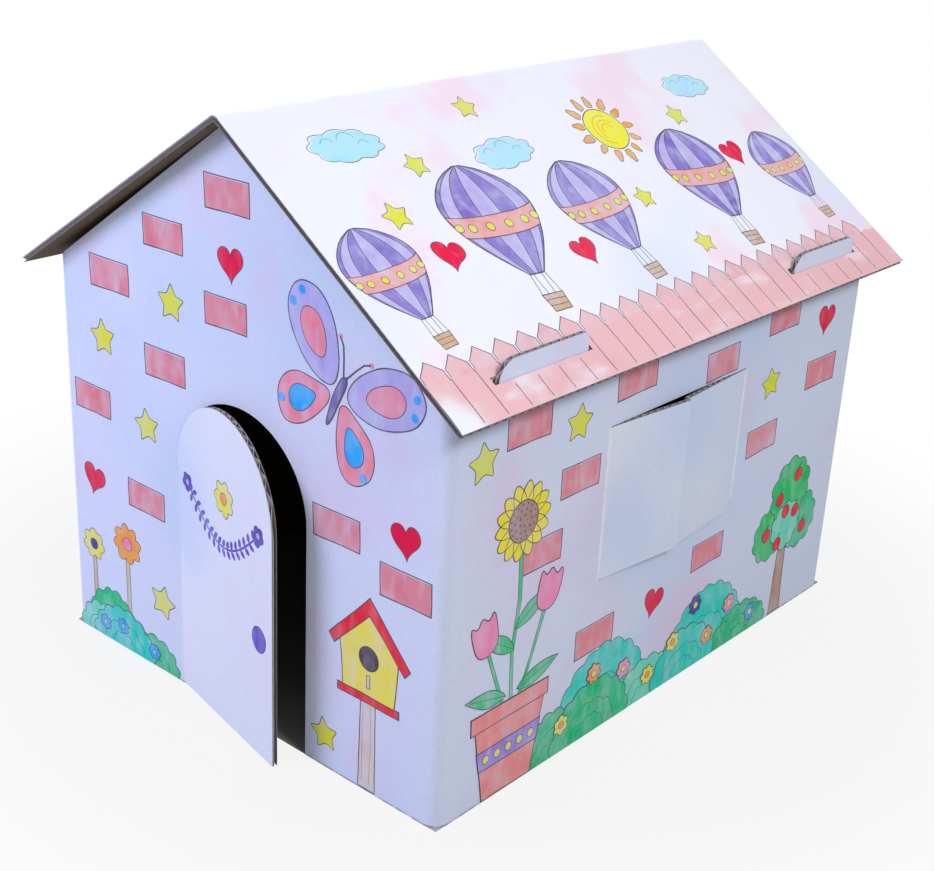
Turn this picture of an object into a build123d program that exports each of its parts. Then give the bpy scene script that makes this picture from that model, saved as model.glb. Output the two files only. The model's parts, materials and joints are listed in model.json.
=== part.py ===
from build123d import *
import os
from math import atan2, cos, hypot, radians, sin

# A toy house of single-wall corrugated board, with an arched door and a shuttered window.
# The walls are one sheet folded round into a tube, and the roof is one sheet folded at its ridge.
# Upright tabs on the side walls hold the roof through its slots.
# X runs along the door wall, Y from the door to the back, Z up from the floor, in millimetres.

# Board, the gap that a knife leaves in it, and the groove that a crease presses into its inner side
board = 4.0
cut_gap = 0.6
crease_gap = 0.3
crease_board = 1.5
crease_run = 5.0
overrun = 1.0

# Walls
house_width = 400.0
house_length = 510.0
wall_height = 308.0
corner_radius = 12.0
fold_turn = 90.0
glue_lap = 35.0
lap_setback = 3.0
lap_drop = 8.0

# Roof
roof_rise = 138.0
roof_front_overhang = 14.0
roof_back_overhang = 26.0
eave_overhang = 18.0
ridge_radius = 6.0
left_panel_spring_angle = 1.6
gable_tip_radius = 5.0

# Tabs on the side walls, and their slots in the roof
tab_width = 90.0
tab_front_inset = 40.0
tab_back_inset = 30.0
tab_height_above_roof = 13.0
tab_front_radius = 16.0
tab_back_radius = 5.0
slot_end_play = 4.0
slot_side_play = 0.5

# Door in the front wall, hinged at its left side and standing ajar
door_width = 136.0
door_middle_x = 4.0
door_spring_height = 180.0
door_floor_gap = 1.5
door_rest_angle = 12.0

# Window in the right wall, with two shutters hinged at its outer sides and standing ajar
window_width = 172.0
window_middle_y = -5.5
window_height = 119.0
window_sill = 130.0
window_corner_radius = 9.0
front_shutter_rest_angle = 6.0
rear_shutter_rest_angle = 4.0

# Places that follow from the sizes above
right_face = house_width / 2
back_face = house_length / 2
front_face = -back_face
apex_height = wall_height + roof_rise
roof_pitch = atan2(roof_rise, right_face)
board_upright = board / cos(roof_pitch)
tab_top = wall_height + board_upright + tab_height_above_roof
tab_centres = (
    front_face + tab_front_inset + tab_width / 2,
    back_face - tab_back_inset - tab_width / 2,
)
window_top = window_sill + window_height

# Planes of the outer wall faces, with their origins at the floor end of each crease
door_crease = Plane((door_middle_x - door_width / 2, front_face, 0), x_dir=(1, 0, 0), z_dir=(0, -1, 0))
front_crease = Plane((right_face, window_middle_y - window_width / 2, 0), x_dir=(0, 1, 0), z_dir=(1, 0, 0))
rear_crease = Plane((right_face, window_middle_y + window_width / 2, 0), x_dir=(0, 1, 0), z_dir=(1, 0, 0))


def arch_face(left, right, bottom, spring):
    """A flat face with upright sides and a half-round top."""
    radius = (right - left) / 2
    with BuildSketch() as face:
        with BuildLine():
            Polyline((left, spring), (left, bottom), (right, bottom), (right, spring))
            ThreePointArc((right, spring), (left + radius, spring + radius), (left, spring))
        make_face()
    return face.sketch


def window_face(hinge_side, free_side, bottom, top):
    """A flat four-sided face, rounded at its lower hinge corner where the knife turns up to the crease."""
    with BuildSketch() as face:
        with BuildLine():
            Polyline(
                (hinge_side, bottom), (free_side, bottom), (free_side, top), (hinge_side, top), close=True
            )
        make_face()
        corner = face.vertices().sort_by_distance((hinge_side, bottom))[0]
        fillet(corner, radius=window_corner_radius)
    return face.sketch


def plan_at(crease, height):
    """The level plane through a crease, with X along the board and Y into the house."""
    return Plane(crease.origin + (0, 0, height), x_dir=crease.x_dir, z_dir=(0, 0, 1))


def groove_face(edge, run):
    """The plan of a crease's groove, from the edge at the crease along the board's inner side."""
    with BuildSketch() as face:
        with BuildLine():
            Polyline(
                (edge, crease_board),
                (edge + run, board),
                (edge + run, board + overrun),
                (edge, board + overrun),
                close=True,
            )
        make_face()
    return face.sketch


# The wall sheet: back wall, right wall, front wall, left wall and glue lap in one folded strip
wall_middle_x = right_face - board / 2
wall_middle_y = back_face - board / 2
fold_radius = corner_radius - board / 2
lap_middle_y = wall_middle_y - board
lap_fold_start = (-wall_middle_x, lap_middle_y - fold_radius)
lap_flat_start = fold_radius - wall_middle_x
with BuildPart() as wall_sheet:
    with BuildSketch() as wall_plan:
        with BuildLine():
            FilletPolyline(
                (lap_flat_start + lap_setback, wall_middle_y),
                (wall_middle_x, wall_middle_y),
                (wall_middle_x, -wall_middle_y),
                (-wall_middle_x, -wall_middle_y),
                lap_fold_start,
                radius=fold_radius,
            )
        trace(line_width=board)
    extrude(amount=apex_height)

    # Both gables follow the roof, with a rounded tip under the ridge fold
    with BuildSketch(Plane.XZ) as gable_outline:
        with BuildLine():
            Polyline(
                (-right_face, 0),
                (right_face, 0),
                (right_face, wall_height),
                (0, apex_height),
                (-right_face, wall_height),
                close=True,
            )
        make_face()
        fillet(gable_outline.vertices().sort_by(Axis.Y)[-1], radius=gable_tip_radius)
    extrude(amount=house_length, both=True, mode=Mode.INTERSECT)

    # The side walls end in a square cut
    with BuildSketch(Plane.XY.offset(wall_height)) as top_trim:
        with Locations((wall_middle_x, 0), (-wall_middle_x, 0)):
            Rectangle(board + overrun, house_length - 2 * corner_radius)
    extrude(amount=roof_rise, mode=Mode.SUBTRACT)

    # The left wall's end folds behind the back wall's raw edge and is glued to its inner face
    with BuildSketch() as lap_plan:
        with BuildLine():
            lap_fold = JernArc(lap_fold_start, tangent=(0, 1), radius=fold_radius, arc_size=-fold_turn)
            Line(lap_fold @ 1, (lap_flat_start + glue_lap, lap_middle_y))
        trace(line_width=board)
    extrude(amount=wall_height - lap_drop)

    # The roof tabs stand up from the side walls, each with one wide and one small round corner
    for wall_face in (right_face - board, -right_face):
        for tab_centre in tab_centres:
            with BuildSketch(Plane.YZ.offset(wall_face)) as tab:
                with Locations((tab_centre, tab_top)):
                    Rectangle(tab_width, tab_top - wall_height + board, align=(Align.CENTER, Align.MAX))
                fillet(tab.vertices().group_by(Axis.Y)[-1].sort_by(Axis.X)[0], radius=tab_front_radius)
                fillet(tab.vertices().group_by(Axis.Y)[-1].sort_by(Axis.X)[-1], radius=tab_back_radius)
            extrude(amount=board)

    # The doorway runs down to the floor with no sill, and its crease is pressed in from inside
    with BuildSketch(door_crease):
        add(arch_face(0, door_width + cut_gap, -overrun, door_spring_height))
    extrude(amount=board + overrun, both=True, mode=Mode.SUBTRACT)
    with BuildSketch(plan_at(door_crease, 0)):
        add(groove_face(0, -crease_run))
    extrude(amount=door_spring_height, mode=Mode.SUBTRACT)

    # The window opening, with a crease at each side
    with BuildSketch(rear_crease):
        add(window_face(0, -window_width, window_sill, window_top))
    extrude(amount=board + overrun, both=True, mode=Mode.SUBTRACT)
    with BuildSketch(plan_at(front_crease, window_sill)):
        add(groove_face(0, -crease_run))
    extrude(amount=window_height, mode=Mode.SUBTRACT)
    with BuildSketch(plan_at(rear_crease, window_sill + window_corner_radius)):
        add(groove_face(0, crease_run))
    extrude(amount=window_height - window_corner_radius, mode=Mode.SUBTRACT)
wall_sheet.part.label = "wall_sheet"

# The roof sheet: two panels with the ridge fold between them, slotted over the wall tabs.
# Its fold springs open a little, so the left panel stands off its wall towards the eave.
roof_length = roof_front_overhang + house_length + roof_back_overhang
roof_middle_lift = board_upright / 2
eave_x = right_face + eave_overhang
eave_z = wall_height + roof_middle_lift - eave_overhang * roof_rise / right_face
ridge_z = apex_height + roof_middle_lift
panel_length = hypot(eave_x, ridge_z - eave_z)
left_pitch = roof_pitch - radians(left_panel_spring_angle)
with BuildPart() as roof_sheet:
    with BuildSketch(Plane.XZ.offset(back_face + roof_front_overhang)) as roof_profile:
        with BuildLine():
            FilletPolyline(
                (-panel_length * cos(left_pitch), ridge_z - panel_length * sin(left_pitch)),
                (0, ridge_z),
                (eave_x, eave_z),
                radius=ridge_radius - board / 2,
            )
        trace(line_width=board)
    extrude(amount=-roof_length)

    # Each tab's push presses its slot upright, so the slot is cut straight down
    with BuildSketch() as slots:
        for wall_middle in (wall_middle_x, -wall_middle_x):
            for tab_centre in tab_centres:
                with Locations((wall_middle, tab_centre)):
                    Rectangle(board + 2 * slot_side_play, tab_width + 2 * slot_end_play)
    extrude(amount=apex_height, mode=Mode.SUBTRACT)
roof_sheet.part.label = "roof_sheet"

# The door leaf, turned outward about its crease on the wall's outer face
door_face = door_crease.rotated((0, 0, -door_rest_angle))
with BuildPart() as door_leaf:
    with BuildSketch(door_face):
        add(arch_face(crease_gap, door_width, door_floor_gap, door_spring_height))
    extrude(amount=-board)
    with BuildSketch(plan_at(door_face, 0)):
        add(groove_face(crease_gap, crease_run))
    extrude(amount=door_spring_height, mode=Mode.SUBTRACT)
door_leaf.part.label = "door_leaf"

# The shutters, each turned outward about its crease, with their free sides meeting at the window's middle
shutter_width = (window_width - cut_gap) / 2
shutter_bottom = window_sill + cut_gap
shutter_top = window_top - cut_gap
front_shutter_face = front_crease.rotated((0, 0, -front_shutter_rest_angle))
with BuildPart() as front_shutter:
    with BuildSketch(front_shutter_face):
        with Locations((crease_gap, shutter_bottom)):
            Rectangle(
                shutter_width - crease_gap, shutter_top - shutter_bottom, align=(Align.MIN, Align.MIN)
            )
    extrude(amount=-board)
    with BuildSketch(plan_at(front_shutter_face, window_sill)):
        add(groove_face(crease_gap, crease_run))
    extrude(amount=window_height, mode=Mode.SUBTRACT)
front_shutter.part.label = "front_shutter"

rear_shutter_face = rear_crease.rotated((0, 0, rear_shutter_rest_angle))
with BuildPart() as rear_shutter:
    with BuildSketch(rear_shutter_face):
        add(window_face(-crease_gap, -shutter_width, shutter_bottom, shutter_top))
    extrude(amount=-board)
    with BuildSketch(plan_at(rear_shutter_face, window_sill + window_corner_radius)):
        add(groove_face(-crease_gap, -crease_run))
    extrude(amount=window_height, mode=Mode.SUBTRACT)
rear_shutter.part.label = "rear_shutter"

os.makedirs("parts", exist_ok=True)
export_step(wall_sheet.part, "parts/wall_sheet.step")
export_step(roof_sheet.part, "parts/roof_sheet.step")
export_step(door_leaf.part, "parts/door_leaf.step")
export_step(front_shutter.part, "parts/front_shutter.step")
export_step(rear_shutter.part, "parts/rear_shutter.step")
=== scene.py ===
import json
import math

import bmesh
import bpy
from mathutils import Matrix, Vector, noise


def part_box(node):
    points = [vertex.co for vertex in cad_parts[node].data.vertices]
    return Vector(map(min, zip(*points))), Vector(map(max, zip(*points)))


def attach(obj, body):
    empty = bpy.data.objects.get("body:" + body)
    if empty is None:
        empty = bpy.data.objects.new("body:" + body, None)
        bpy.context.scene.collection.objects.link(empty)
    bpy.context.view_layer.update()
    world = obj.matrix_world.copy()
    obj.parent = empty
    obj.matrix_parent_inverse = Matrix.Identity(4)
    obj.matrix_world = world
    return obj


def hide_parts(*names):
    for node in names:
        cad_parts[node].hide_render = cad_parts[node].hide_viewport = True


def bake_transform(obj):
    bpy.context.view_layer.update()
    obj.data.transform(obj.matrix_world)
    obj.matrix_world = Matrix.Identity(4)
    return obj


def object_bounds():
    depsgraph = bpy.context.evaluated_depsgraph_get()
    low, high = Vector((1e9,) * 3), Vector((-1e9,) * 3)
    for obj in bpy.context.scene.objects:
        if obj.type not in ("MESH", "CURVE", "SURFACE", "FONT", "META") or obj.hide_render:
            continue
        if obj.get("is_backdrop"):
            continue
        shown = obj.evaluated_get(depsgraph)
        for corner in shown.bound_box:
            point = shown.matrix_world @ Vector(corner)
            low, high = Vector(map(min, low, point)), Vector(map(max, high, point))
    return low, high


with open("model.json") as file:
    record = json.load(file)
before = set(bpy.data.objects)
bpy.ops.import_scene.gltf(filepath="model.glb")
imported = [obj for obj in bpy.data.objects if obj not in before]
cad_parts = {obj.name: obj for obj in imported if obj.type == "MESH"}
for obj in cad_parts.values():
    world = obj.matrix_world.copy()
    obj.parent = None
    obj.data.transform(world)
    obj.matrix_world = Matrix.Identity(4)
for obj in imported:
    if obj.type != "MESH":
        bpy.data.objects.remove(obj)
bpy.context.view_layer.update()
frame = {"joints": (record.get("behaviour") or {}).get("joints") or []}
mm = 0.001

# The wall sheet is one strip of white-lined corrugated board, die-cut flat, creased at its corners
# and folded round into a tube. Its two paper liners and the fluted paper between them show at the cut edges.
# The left wall's end folds behind the back wall's raw edge and is glued there.
board = 4 * mm
liner = 0.4 * mm
flute_pitch = 7.9 * mm
strips_per_flute = 8
first_flute_share = 0.75
crease_board = 1.5 * mm
crease_run = 5 * mm
crease_fade = 1 * mm
sharp_edge = math.radians(38)
straight = 0.999
weld_distance = 0.001 * mm
cut_gap = 0.6 * mm
wall_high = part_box("wall_sheet")[1]
right_face = wall_high.x
back_face = wall_high.y
wall_height = 308 * mm
roof_rise = 138 * mm
pitch = math.atan2(roof_rise, right_face)
apex = wall_height + roof_rise
gable_tip = 5 * mm
corner_fold = 12 * mm
raw_edge_inset = 15 * mm
lap_length = 35 * mm
lap_height = 300 * mm
hinge = {joint["name"]: Vector(joint["pos_m"]) for joint in frame["joints"]}
door_hinge = hinge["door_crease"]
front_hinge = hinge["front_shutter_crease"]
rear_hinge = hinge["rear_shutter_crease"]
door_width = 136 * mm
door_spring = 180 * mm
doorway_radius = (door_width + cut_gap) / 2
doorway_middle = door_hinge.x + doorway_radius
window_sill = 130 * mm
window_top = 249 * mm
window_round = 9 * mm
tab_width = 90 * mm
tab_front_inset = 40 * mm
tab_back_inset = 30 * mm
tab_front_round = 16 * mm
tab_back_round = 5 * mm
tab_above_roof = 13 * mm
tab_top = wall_height + board / math.cos(pitch) + tab_above_roof
tab_middles = (
    tab_front_inset + tab_width / 2 - back_face,
    back_face - tab_back_inset - tab_width / 2,
)
# The walls' white is tinted lavender. It is partly a lavender wash and partly painted cool shade: a bluer,
# darker copy of the roof's white for the walls, which stand out of the overhead light.
lavender_and_cool_shade_white = (226, 232, 254)
leaf_white = (238, 240, 252)
card_pink = (233, 214, 242)
card_blue = (208, 224, 253)
kraft_liner = (116, 98, 74)
kraft_fluting = (180, 176, 180)
cut_paper = (178, 175, 182)
cut_kraft = (142, 134, 126)
# The brown that the card turns to in patches along the foot of the walls and the leaves.
foot_brown = (150, 128, 118)
kraft_shades = (0.93, 1.05, 0.75)
fold_length = corner_fold * math.pi / 2
back_run = right_face - corner_fold + right_face - raw_edge_inset
side_run = 2 * (back_face - corner_fold)
front_run = 2 * (right_face - corner_fold)
left_run = side_run - board
wall_runs = (back_run, side_run, front_run, left_run, lap_length)
right_start = back_run + fold_length
front_start = right_start + side_run + fold_length
left_start = front_start + front_run + fold_length
lap_start = left_start + left_run
wall_length = lap_start + fold_length + lap_length


def wall_place(run):
    """The point on the wall's outer face at a run along the strip, and the way that it faces."""
    heading = 0.0
    at = Vector((raw_edge_inset - right_face, back_face))
    for length in wall_runs:
        at = at + min(run, length) * Vector((math.cos(heading), math.sin(heading)))
        run = run - length
        if run <= 0:
            break
        turn = min(run / corner_fold, math.pi / 2)
        centre = at + corner_fold * Vector((math.sin(heading), -math.cos(heading)))
        heading = heading - turn
        at = centre + corner_fold * Vector((-math.sin(heading), math.cos(heading)))
        run = run - fold_length
        if run <= 0:
            break
    return at, Vector((-math.sin(heading), math.cos(heading)))


def quarter_drop(distance, radius):
    """How far a round corner lies below its flat top at a distance from its end."""
    inside = radius - min(distance, radius)
    return radius - math.sqrt(max(0, radius * radius - inside * inside))


def gable_height(x):
    """The top of the wall under the roof, with a rounded tip."""
    slope = apex - abs(x) * math.tan(pitch)
    tip = apex - gable_tip / math.cos(pitch) + math.sqrt(max(0, gable_tip**2 - x * x))
    return min(slope, tip) if abs(x) < gable_tip * math.sin(pitch) else slope


def cut_spans(spans, heights):
    """The same stretches of card, cut across at some heights."""
    pieces = []
    for low, high in spans:
        stops = [low] + [height for height in heights if low < height < high] + [high]
        pieces += list(zip(stops, stops[1:]))
    return pieces


# Each crease: the hinge, the way from it into the wall, and the heights between which it is pressed
wall_creases = (
    (door_hinge, Vector((-1, 0, 0)), 0, door_spring),
    (front_hinge, Vector((0, -1, 0)), window_sill, window_top),
    (rear_hinge, Vector((0, 1, 0)), window_sill + window_round, window_top),
)


def wall_spans(run, middle):
    """The stretches of card at a run, for the strip round middle."""
    at, facing = wall_place(run)
    inside, way = wall_place(middle)
    top = gable_height(at.x)
    if middle > lap_start:
        return [(0, lap_height)]
    if abs(way.x) > straight:
        for tab in tab_middles:
            if abs(inside.y - tab) < tab_width / 2:
                front_end = at.y - tab + tab_width / 2
                front_drop = quarter_drop(front_end, tab_front_round)
                back_drop = quarter_drop(tab_width - front_end, tab_back_round)
                top = tab_top - max(front_drop, back_drop)
    if way.x > straight and front_hinge.y < inside.y < rear_hinge.y:
        return [(0, window_sill + quarter_drop(rear_hinge.y - at.y, window_round)), (window_top, top)]
    if way.y < -straight and abs(inside.x - doorway_middle) < doorway_radius:
        off = at.x - doorway_middle
        return [(door_spring + math.sqrt(max(0, doorway_radius**2 - off * off)), top)]
    spans = [(0, top)]
    for place, away, low, high in wall_creases:
        offset = Vector((inside.x, inside.y, 0)) - Vector((place.x, place.y, 0))
        if 0 < offset.dot(away) < crease_run and (offset - offset.dot(away) * away).length < mm:
            spans = cut_spans(spans, (low - crease_fade, low, high, high + crease_fade))
    return spans


def wall_point(run, rise):
    """A point of the wall's outer face, its outward way and the board's thickness there."""
    at, facing = wall_place(run)
    thick = board
    for place, away, low, high in wall_creases:
        offset = Vector((at.x, at.y, 0)) - Vector((place.x, place.y, 0))
        far = offset.dot(away)
        beside = (offset - far * away).length < mm
        if beside and -liner < far < crease_run and low - liner < rise < high + liner:
            thick = crease_board + (board - crease_board) * max(0, far) / crease_run
    return (at.x, at.y, rise), (facing.x, facing.y, 0), thick


def strip_sides(length, keys):
    """The sides of narrow strips across a board, with one at each place where its outline changes."""
    step = flute_pitch / strips_per_flute
    sides = {0.0, length, *keys}
    for count in range(1, int(length / step) + 1):
        if min(abs(count * step - side) for side in sides) > step / 3:
            sides.add(count * step)
    return sorted(sides)


def linked(name, data):
    """A new object of some data, put in the scene."""
    piece = bpy.data.objects.new(name, data)
    bpy.context.collection.objects.link(piece)
    return piece


def flat_sheet(name, sides, spans, point):
    """A board's printed face as narrow strips between sides, each point with what the paper layers need."""
    strips = []
    stops = [set() for side in sides]
    for index, (near, far) in enumerate(zip(sides, sides[1:])):
        pairs = []
        for near_span, far_span in zip(spans(near, (near + far) / 2), spans(far, (near + far) / 2)):
            near_span = tuple(round(rise, 6) for rise in near_span)
            far_span = tuple(round(rise, 6) for rise in far_span)
            pairs.append((near_span, far_span))
            stops[index].update(near_span)
            stops[index + 1].update(far_span)
        strips.append(pairs)
    numbers = {}
    points, outward, thick, runs, rises, faces = [], [], [], [], [], []

    def corner(index, rise):
        """The number of a strip's corner, whose point is made when it is first asked for."""
        if (index, rise) not in numbers:
            numbers[index, rise] = len(points)
            at, way, depth = point(sides[index], rise)
            points.append(at)
            outward.extend(way)
            thick.append(depth)
            runs.append(sides[index])
            rises.append(rise)
        return numbers[index, rise]

    for index, pairs in enumerate(strips):
        for (near_low, near_high), (far_low, far_high) in pairs:
            up = [rise for rise in sorted(stops[index]) if near_low <= rise <= near_high]
            down = [rise for rise in sorted(stops[index + 1], reverse=True) if far_low <= rise <= far_high]
            if len(up) + len(down) > 2:
                near_side = [corner(index, rise) for rise in up]
                faces.append(near_side + [corner(index + 1, rise) for rise in down])
    mesh = bpy.data.meshes.new(name)
    mesh.from_pydata(points, [], faces)
    mesh.attributes.new("outward", "FLOAT_VECTOR", "POINT").data.foreach_set("vector", outward)
    for label, values in (("thick", thick), ("run", runs), ("rise", rises)):
        mesh.attributes.new(label, "FLOAT", "POINT").data.foreach_set("value", values)
    first = mesh.polygons[0]
    way = Vector(outward[3 * first.vertices[0]:3 * first.vertices[0] + 3])
    if first.normal.dot(way) < 0:
        mesh.flip_normals()
    return linked(name, mesh)


def add(tree, kind, inputs=None, **settings):
    """Adds a node, with its settings and with its inputs set or linked."""
    node = tree.nodes.new(kind)
    for key, value in settings.items():
        setattr(node, key, value)
    for key, value in (inputs or {}).items():
        if isinstance(value, bpy.types.NodeSocket):
            tree.links.new(value, node.inputs[key])
        else:
            node.inputs[key].default_value = value
    return node


def made(tree, kind, inputs, **settings):
    """The geometry that a new node of a geometry tree gives."""
    return add(tree, "GeometryNode" + kind, inputs, **settings).outputs[0]


def sums(tree, operation, *values):
    """One step of arithmetic on fields or numbers."""
    return add(tree, "ShaderNodeMath", dict(enumerate(values)), operation=operation).outputs[0]


def tree_with(name, sockets):
    """An empty geometry tree with named inputs, and its input node."""
    tree = bpy.data.node_groups.new(name, "GeometryNodeTree")
    for label, kind in sockets:
        tree.interface.new_socket(label, in_out="INPUT", socket_type="NodeSocket" + kind)
    tree.interface.new_socket("Result", in_out="OUTPUT", socket_type="NodeSocketGeometry")
    return tree, tree.nodes.new("NodeGroupInput").outputs


def field(tree, name, kind="FLOAT"):
    """A named value that the points of a mesh carry."""
    return made(tree, "InputNamedAttribute", {"Name": name}, data_type=kind)


def run_tree(piece, tree, inputs):
    """Turns a piece into the plain mesh that a geometry tree makes of it."""
    modifier = piece.modifiers.new(tree.name, "NODES")
    modifier.node_group = tree
    for socket in tree.interface.items_tree:
        if socket.in_out == "INPUT" and socket.name in inputs:
            modifier[socket.identifier] = inputs[socket.name]
    made = bpy.data.meshes.new_from_object(piece.evaluated_get(bpy.context.evaluated_depsgraph_get()))
    piece.modifiers.clear()
    piece.data = made
    made.name = piece.name


# The board's tree grows each sheet into an outer liner, a fluted layer and an inner liner
board_tree, given = tree_with(
    "corrugated_board",
    (
        ("Sheet", "Geometry"),
        ("Liner", "Float"),
        ("Flute pitch", "Float"),
        ("Printed side", "Material"),
        ("Kraft side", "Material"),
        ("Fluting", "Material"),
        ("Cut edge", "Material"),
        ("Kraft edge", "Material"),
    ),
)
outward_field = field(board_tree, "outward", "FLOAT_VECTOR")
thick_field = field(board_tree, "thick")
waves = sums(board_tree, "DIVIDE", field(board_tree, "run"), given["Flute pitch"])
waves = sums(board_tree, "ADD", waves, first_flute_share)
wave = sums(board_tree, "SINE", sums(board_tree, "MULTIPLY", waves, math.tau))
three_papers = sums(board_tree, "MULTIPLY", given["Liner"], 3.0)
swing = sums(board_tree, "MAXIMUM", sums(board_tree, "SUBTRACT", thick_field, three_papers), 0.0)
centre_depth = sums(board_tree, "MULTIPLY", sums(board_tree, "ADD", thick_field, given["Liner"]), 0.5)
fluting_depth = sums(board_tree, "MULTIPLY_ADD", sums(board_tree, "MULTIPLY", swing, 0.5), wave, centre_depth)


def along_outward(length):
    """The outward way, times a length."""
    scaled = add(board_tree, "ShaderNodeVectorMath", {0: outward_field, "Scale": length}, operation="SCALE")
    return scaled.outputs[0]


def with_mark(geometry, mark, **chosen):
    """Marks all faces of a paper layer, or the chosen ones."""
    values = {"Geometry": geometry, "Name": mark, "Value": True, **chosen}
    return made(board_tree, "StoreNamedAttribute", values, data_type="BOOLEAN", domain="FACE")


def paper_layer(depth, mark):
    """A closed paper layer whose inner side lies at a depth in the board, with a mark for its paper."""
    inward = along_outward(sums(board_tree, "MULTIPLY", depth, -1.0))
    lower = made(board_tree, "SetPosition", {"Geometry": given["Sheet"], "Offset": inward})
    growing = {"Mesh": lower, "Offset Scale": 0.0, "Individual": False}
    grown = add(board_tree, "GeometryNodeExtrudeMesh", growing).outputs
    raising = {"Geometry": grown["Mesh"], "Selection": grown["Top"], "Offset": along_outward(given["Liner"])}
    upper = with_mark(made(board_tree, "SetPosition", raising), mark)
    if mark != "inside":
        upper = with_mark(upper, "rim", Selection=grown["Side"])
    under = made(board_tree, "FlipFaces", {"Mesh": lower})
    if mark == "fluting":
        under = with_mark(under, mark)
    both = add(board_tree, "GeometryNodeJoinGeometry")
    board_tree.links.new(under, both.inputs[0])
    board_tree.links.new(upper, both.inputs[0])
    return made(board_tree, "MergeByDistance", {"Geometry": both.outputs[0], "Distance": weld_distance})


layers = add(board_tree, "GeometryNodeJoinGeometry")
for depth, mark in ((given["Liner"], "printed"), (fluting_depth, "fluting"), (thick_field, "inside")):
    board_tree.links.new(paper_layer(depth, mark), layers.inputs[0])
shown = made(board_tree, "RealizeInstances", {"Geometry": layers.outputs[0]})
shown = made(board_tree, "SetMaterial", {"Geometry": shown, "Material": given["Kraft side"]})
for mark, socket in (
    ("fluting", "Fluting"),
    ("printed", "Printed side"),
    ("inside", "Kraft edge"),
    ("rim", "Cut edge"),
):
    marked = {"Geometry": shown, "Selection": field(board_tree, mark, "BOOLEAN"), "Material": given[socket]}
    shown = made(board_tree, "SetMaterial", marked)
add(board_tree, "NodeGroupOutput", {0: shown})


def tone(red, green, blue, body=1.0):
    """A colour as it is seen, 0 to 255, as linear light, and how thickly it is laid on."""
    shares = [value / 255 for value in (red, green, blue)]
    return tuple(s / 12.92 if s < 0.04045 else ((s + 0.055) / 1.055) ** 2.4 for s in shares) + (body,)


def new_material(name, roughness):
    """A matt material, with its tree and its shader."""
    material = bpy.data.materials.new(name)
    material.use_nodes = True
    shader = material.node_tree.nodes["Principled BSDF"]
    shader.inputs["Roughness"].default_value = roughness
    shader.inputs["Specular IOR Level"].default_value = 0.25
    return material, material.node_tree, shader


def speckle(tree, scale, detail=3.0, stretch=(1, 1, 1), turn=(0, 0, 0)):
    """A soft random field, of about a metre over scale from patch to patch."""
    place = add(tree, "ShaderNodeTexCoord").outputs["Object"]
    moved = add(tree, "ShaderNodeMapping", {"Vector": place, "Scale": stretch, "Rotation": turn}).outputs[0]
    return add(tree, "ShaderNodeTexNoise", {"Vector": moved, "Scale": scale, "Detail": detail}).outputs["Fac"]


def graded(tree, value, low, high, start=0.0, end=1.0):
    """A field's stretch from low to high, carried softly onto start to end."""
    return add(
        tree,
        "ShaderNodeMapRange",
        {"Value": value, "From Min": low, "From Max": high, "To Min": start, "To Max": end},
        interpolation_type="SMOOTHSTEP",
    ).outputs[0]


def mixed(tree, share, first, second, blend="MIX"):
    """Two colours mixed by a share."""
    return add(
        tree, "ShaderNodeMix", {0: share, 6: first, 7: second}, data_type="RGBA", blend_type=blend
    ).outputs[2]


def card_colour(tree, white=lavender_and_cool_shade_white, most_pink=0.85):
    """White liner paper with thin pink and blue washes brushed over it in patches."""
    pink = graded(tree, speckle(tree, 9, 4), 0.5, 0.74, 0, most_pink)
    blue = graded(tree, speckle(tree, 5, 2, turn=(0.4, 0.9, 0.2)), 0.42, 0.68, 0, 0.8)
    fibre = graded(tree, speckle(tree, 420, 4), 0.3, 0.7, 0.955, 1.0)
    washed = mixed(tree, blue, tone(*white), tone(*card_blue))
    washed = mixed(tree, pink, washed, tone(*card_pink))
    grey = add(tree, "ShaderNodeCombineColor", {0: fibre, 1: fibre, 2: fibre}).outputs[0]
    return mixed(tree, 1.0, washed, grey, "MULTIPLY")


def attribute(tree, name):
    """A named value of the mesh, in a material."""
    return add(tree, "ShaderNodeAttribute", attribute_name=name)


def card_relief(tree, shader):
    """The faint ribs that the flutes leave in a liner, the paper's grain and the board's slight waviness."""
    along = attribute(tree, "run").outputs["Fac"]
    ribs = sums(tree, "SINE", sums(tree, "MULTIPLY", along, math.tau / flute_pitch))
    ribs = sums(tree, "MULTIPLY", ribs, graded(tree, speckle(tree, 14, 2), 0.35, 0.7, 0.02, 0.09))
    relief = sums(tree, "MULTIPLY_ADD", speckle(tree, 700, 3), 0.12, ribs)
    relief = sums(tree, "MULTIPLY_ADD", speckle(tree, 11, 1), 3.0, relief)
    bump = add(tree, "ShaderNodeBump", {"Height": relief, "Strength": 0.5, "Distance": 0.4 * mm})
    tree.links.new(bump.outputs[0], shader.inputs["Normal"])


def washed_card(name, white, most_pink):
    """The printed side of a wall or a flap, browner in patches along its foot."""
    material, tree, shader = new_material(name, 0.72)
    foot = graded(tree, attribute(tree, "rise").outputs["Fac"], 0.3 * mm, 2.2 * mm, 0.9, 0.0)
    foot_browning = sums(tree, "MULTIPLY", foot, graded(tree, speckle(tree, 120, 3), 0.3, 0.6))
    colour = mixed(tree, foot_browning, card_colour(tree, white, most_pink), tone(*foot_brown))
    tree.links.new(colour, shader.inputs["Base Color"])
    card_relief(tree, shader)
    return material


# The walls' card takes the lavender white, which is partly painted cool shade.
wall_card = washed_card("wall_card", lavender_and_cool_shade_white, 0.85)
leaf_card = washed_card("leaf_card", leaf_white, 0.2)


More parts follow.
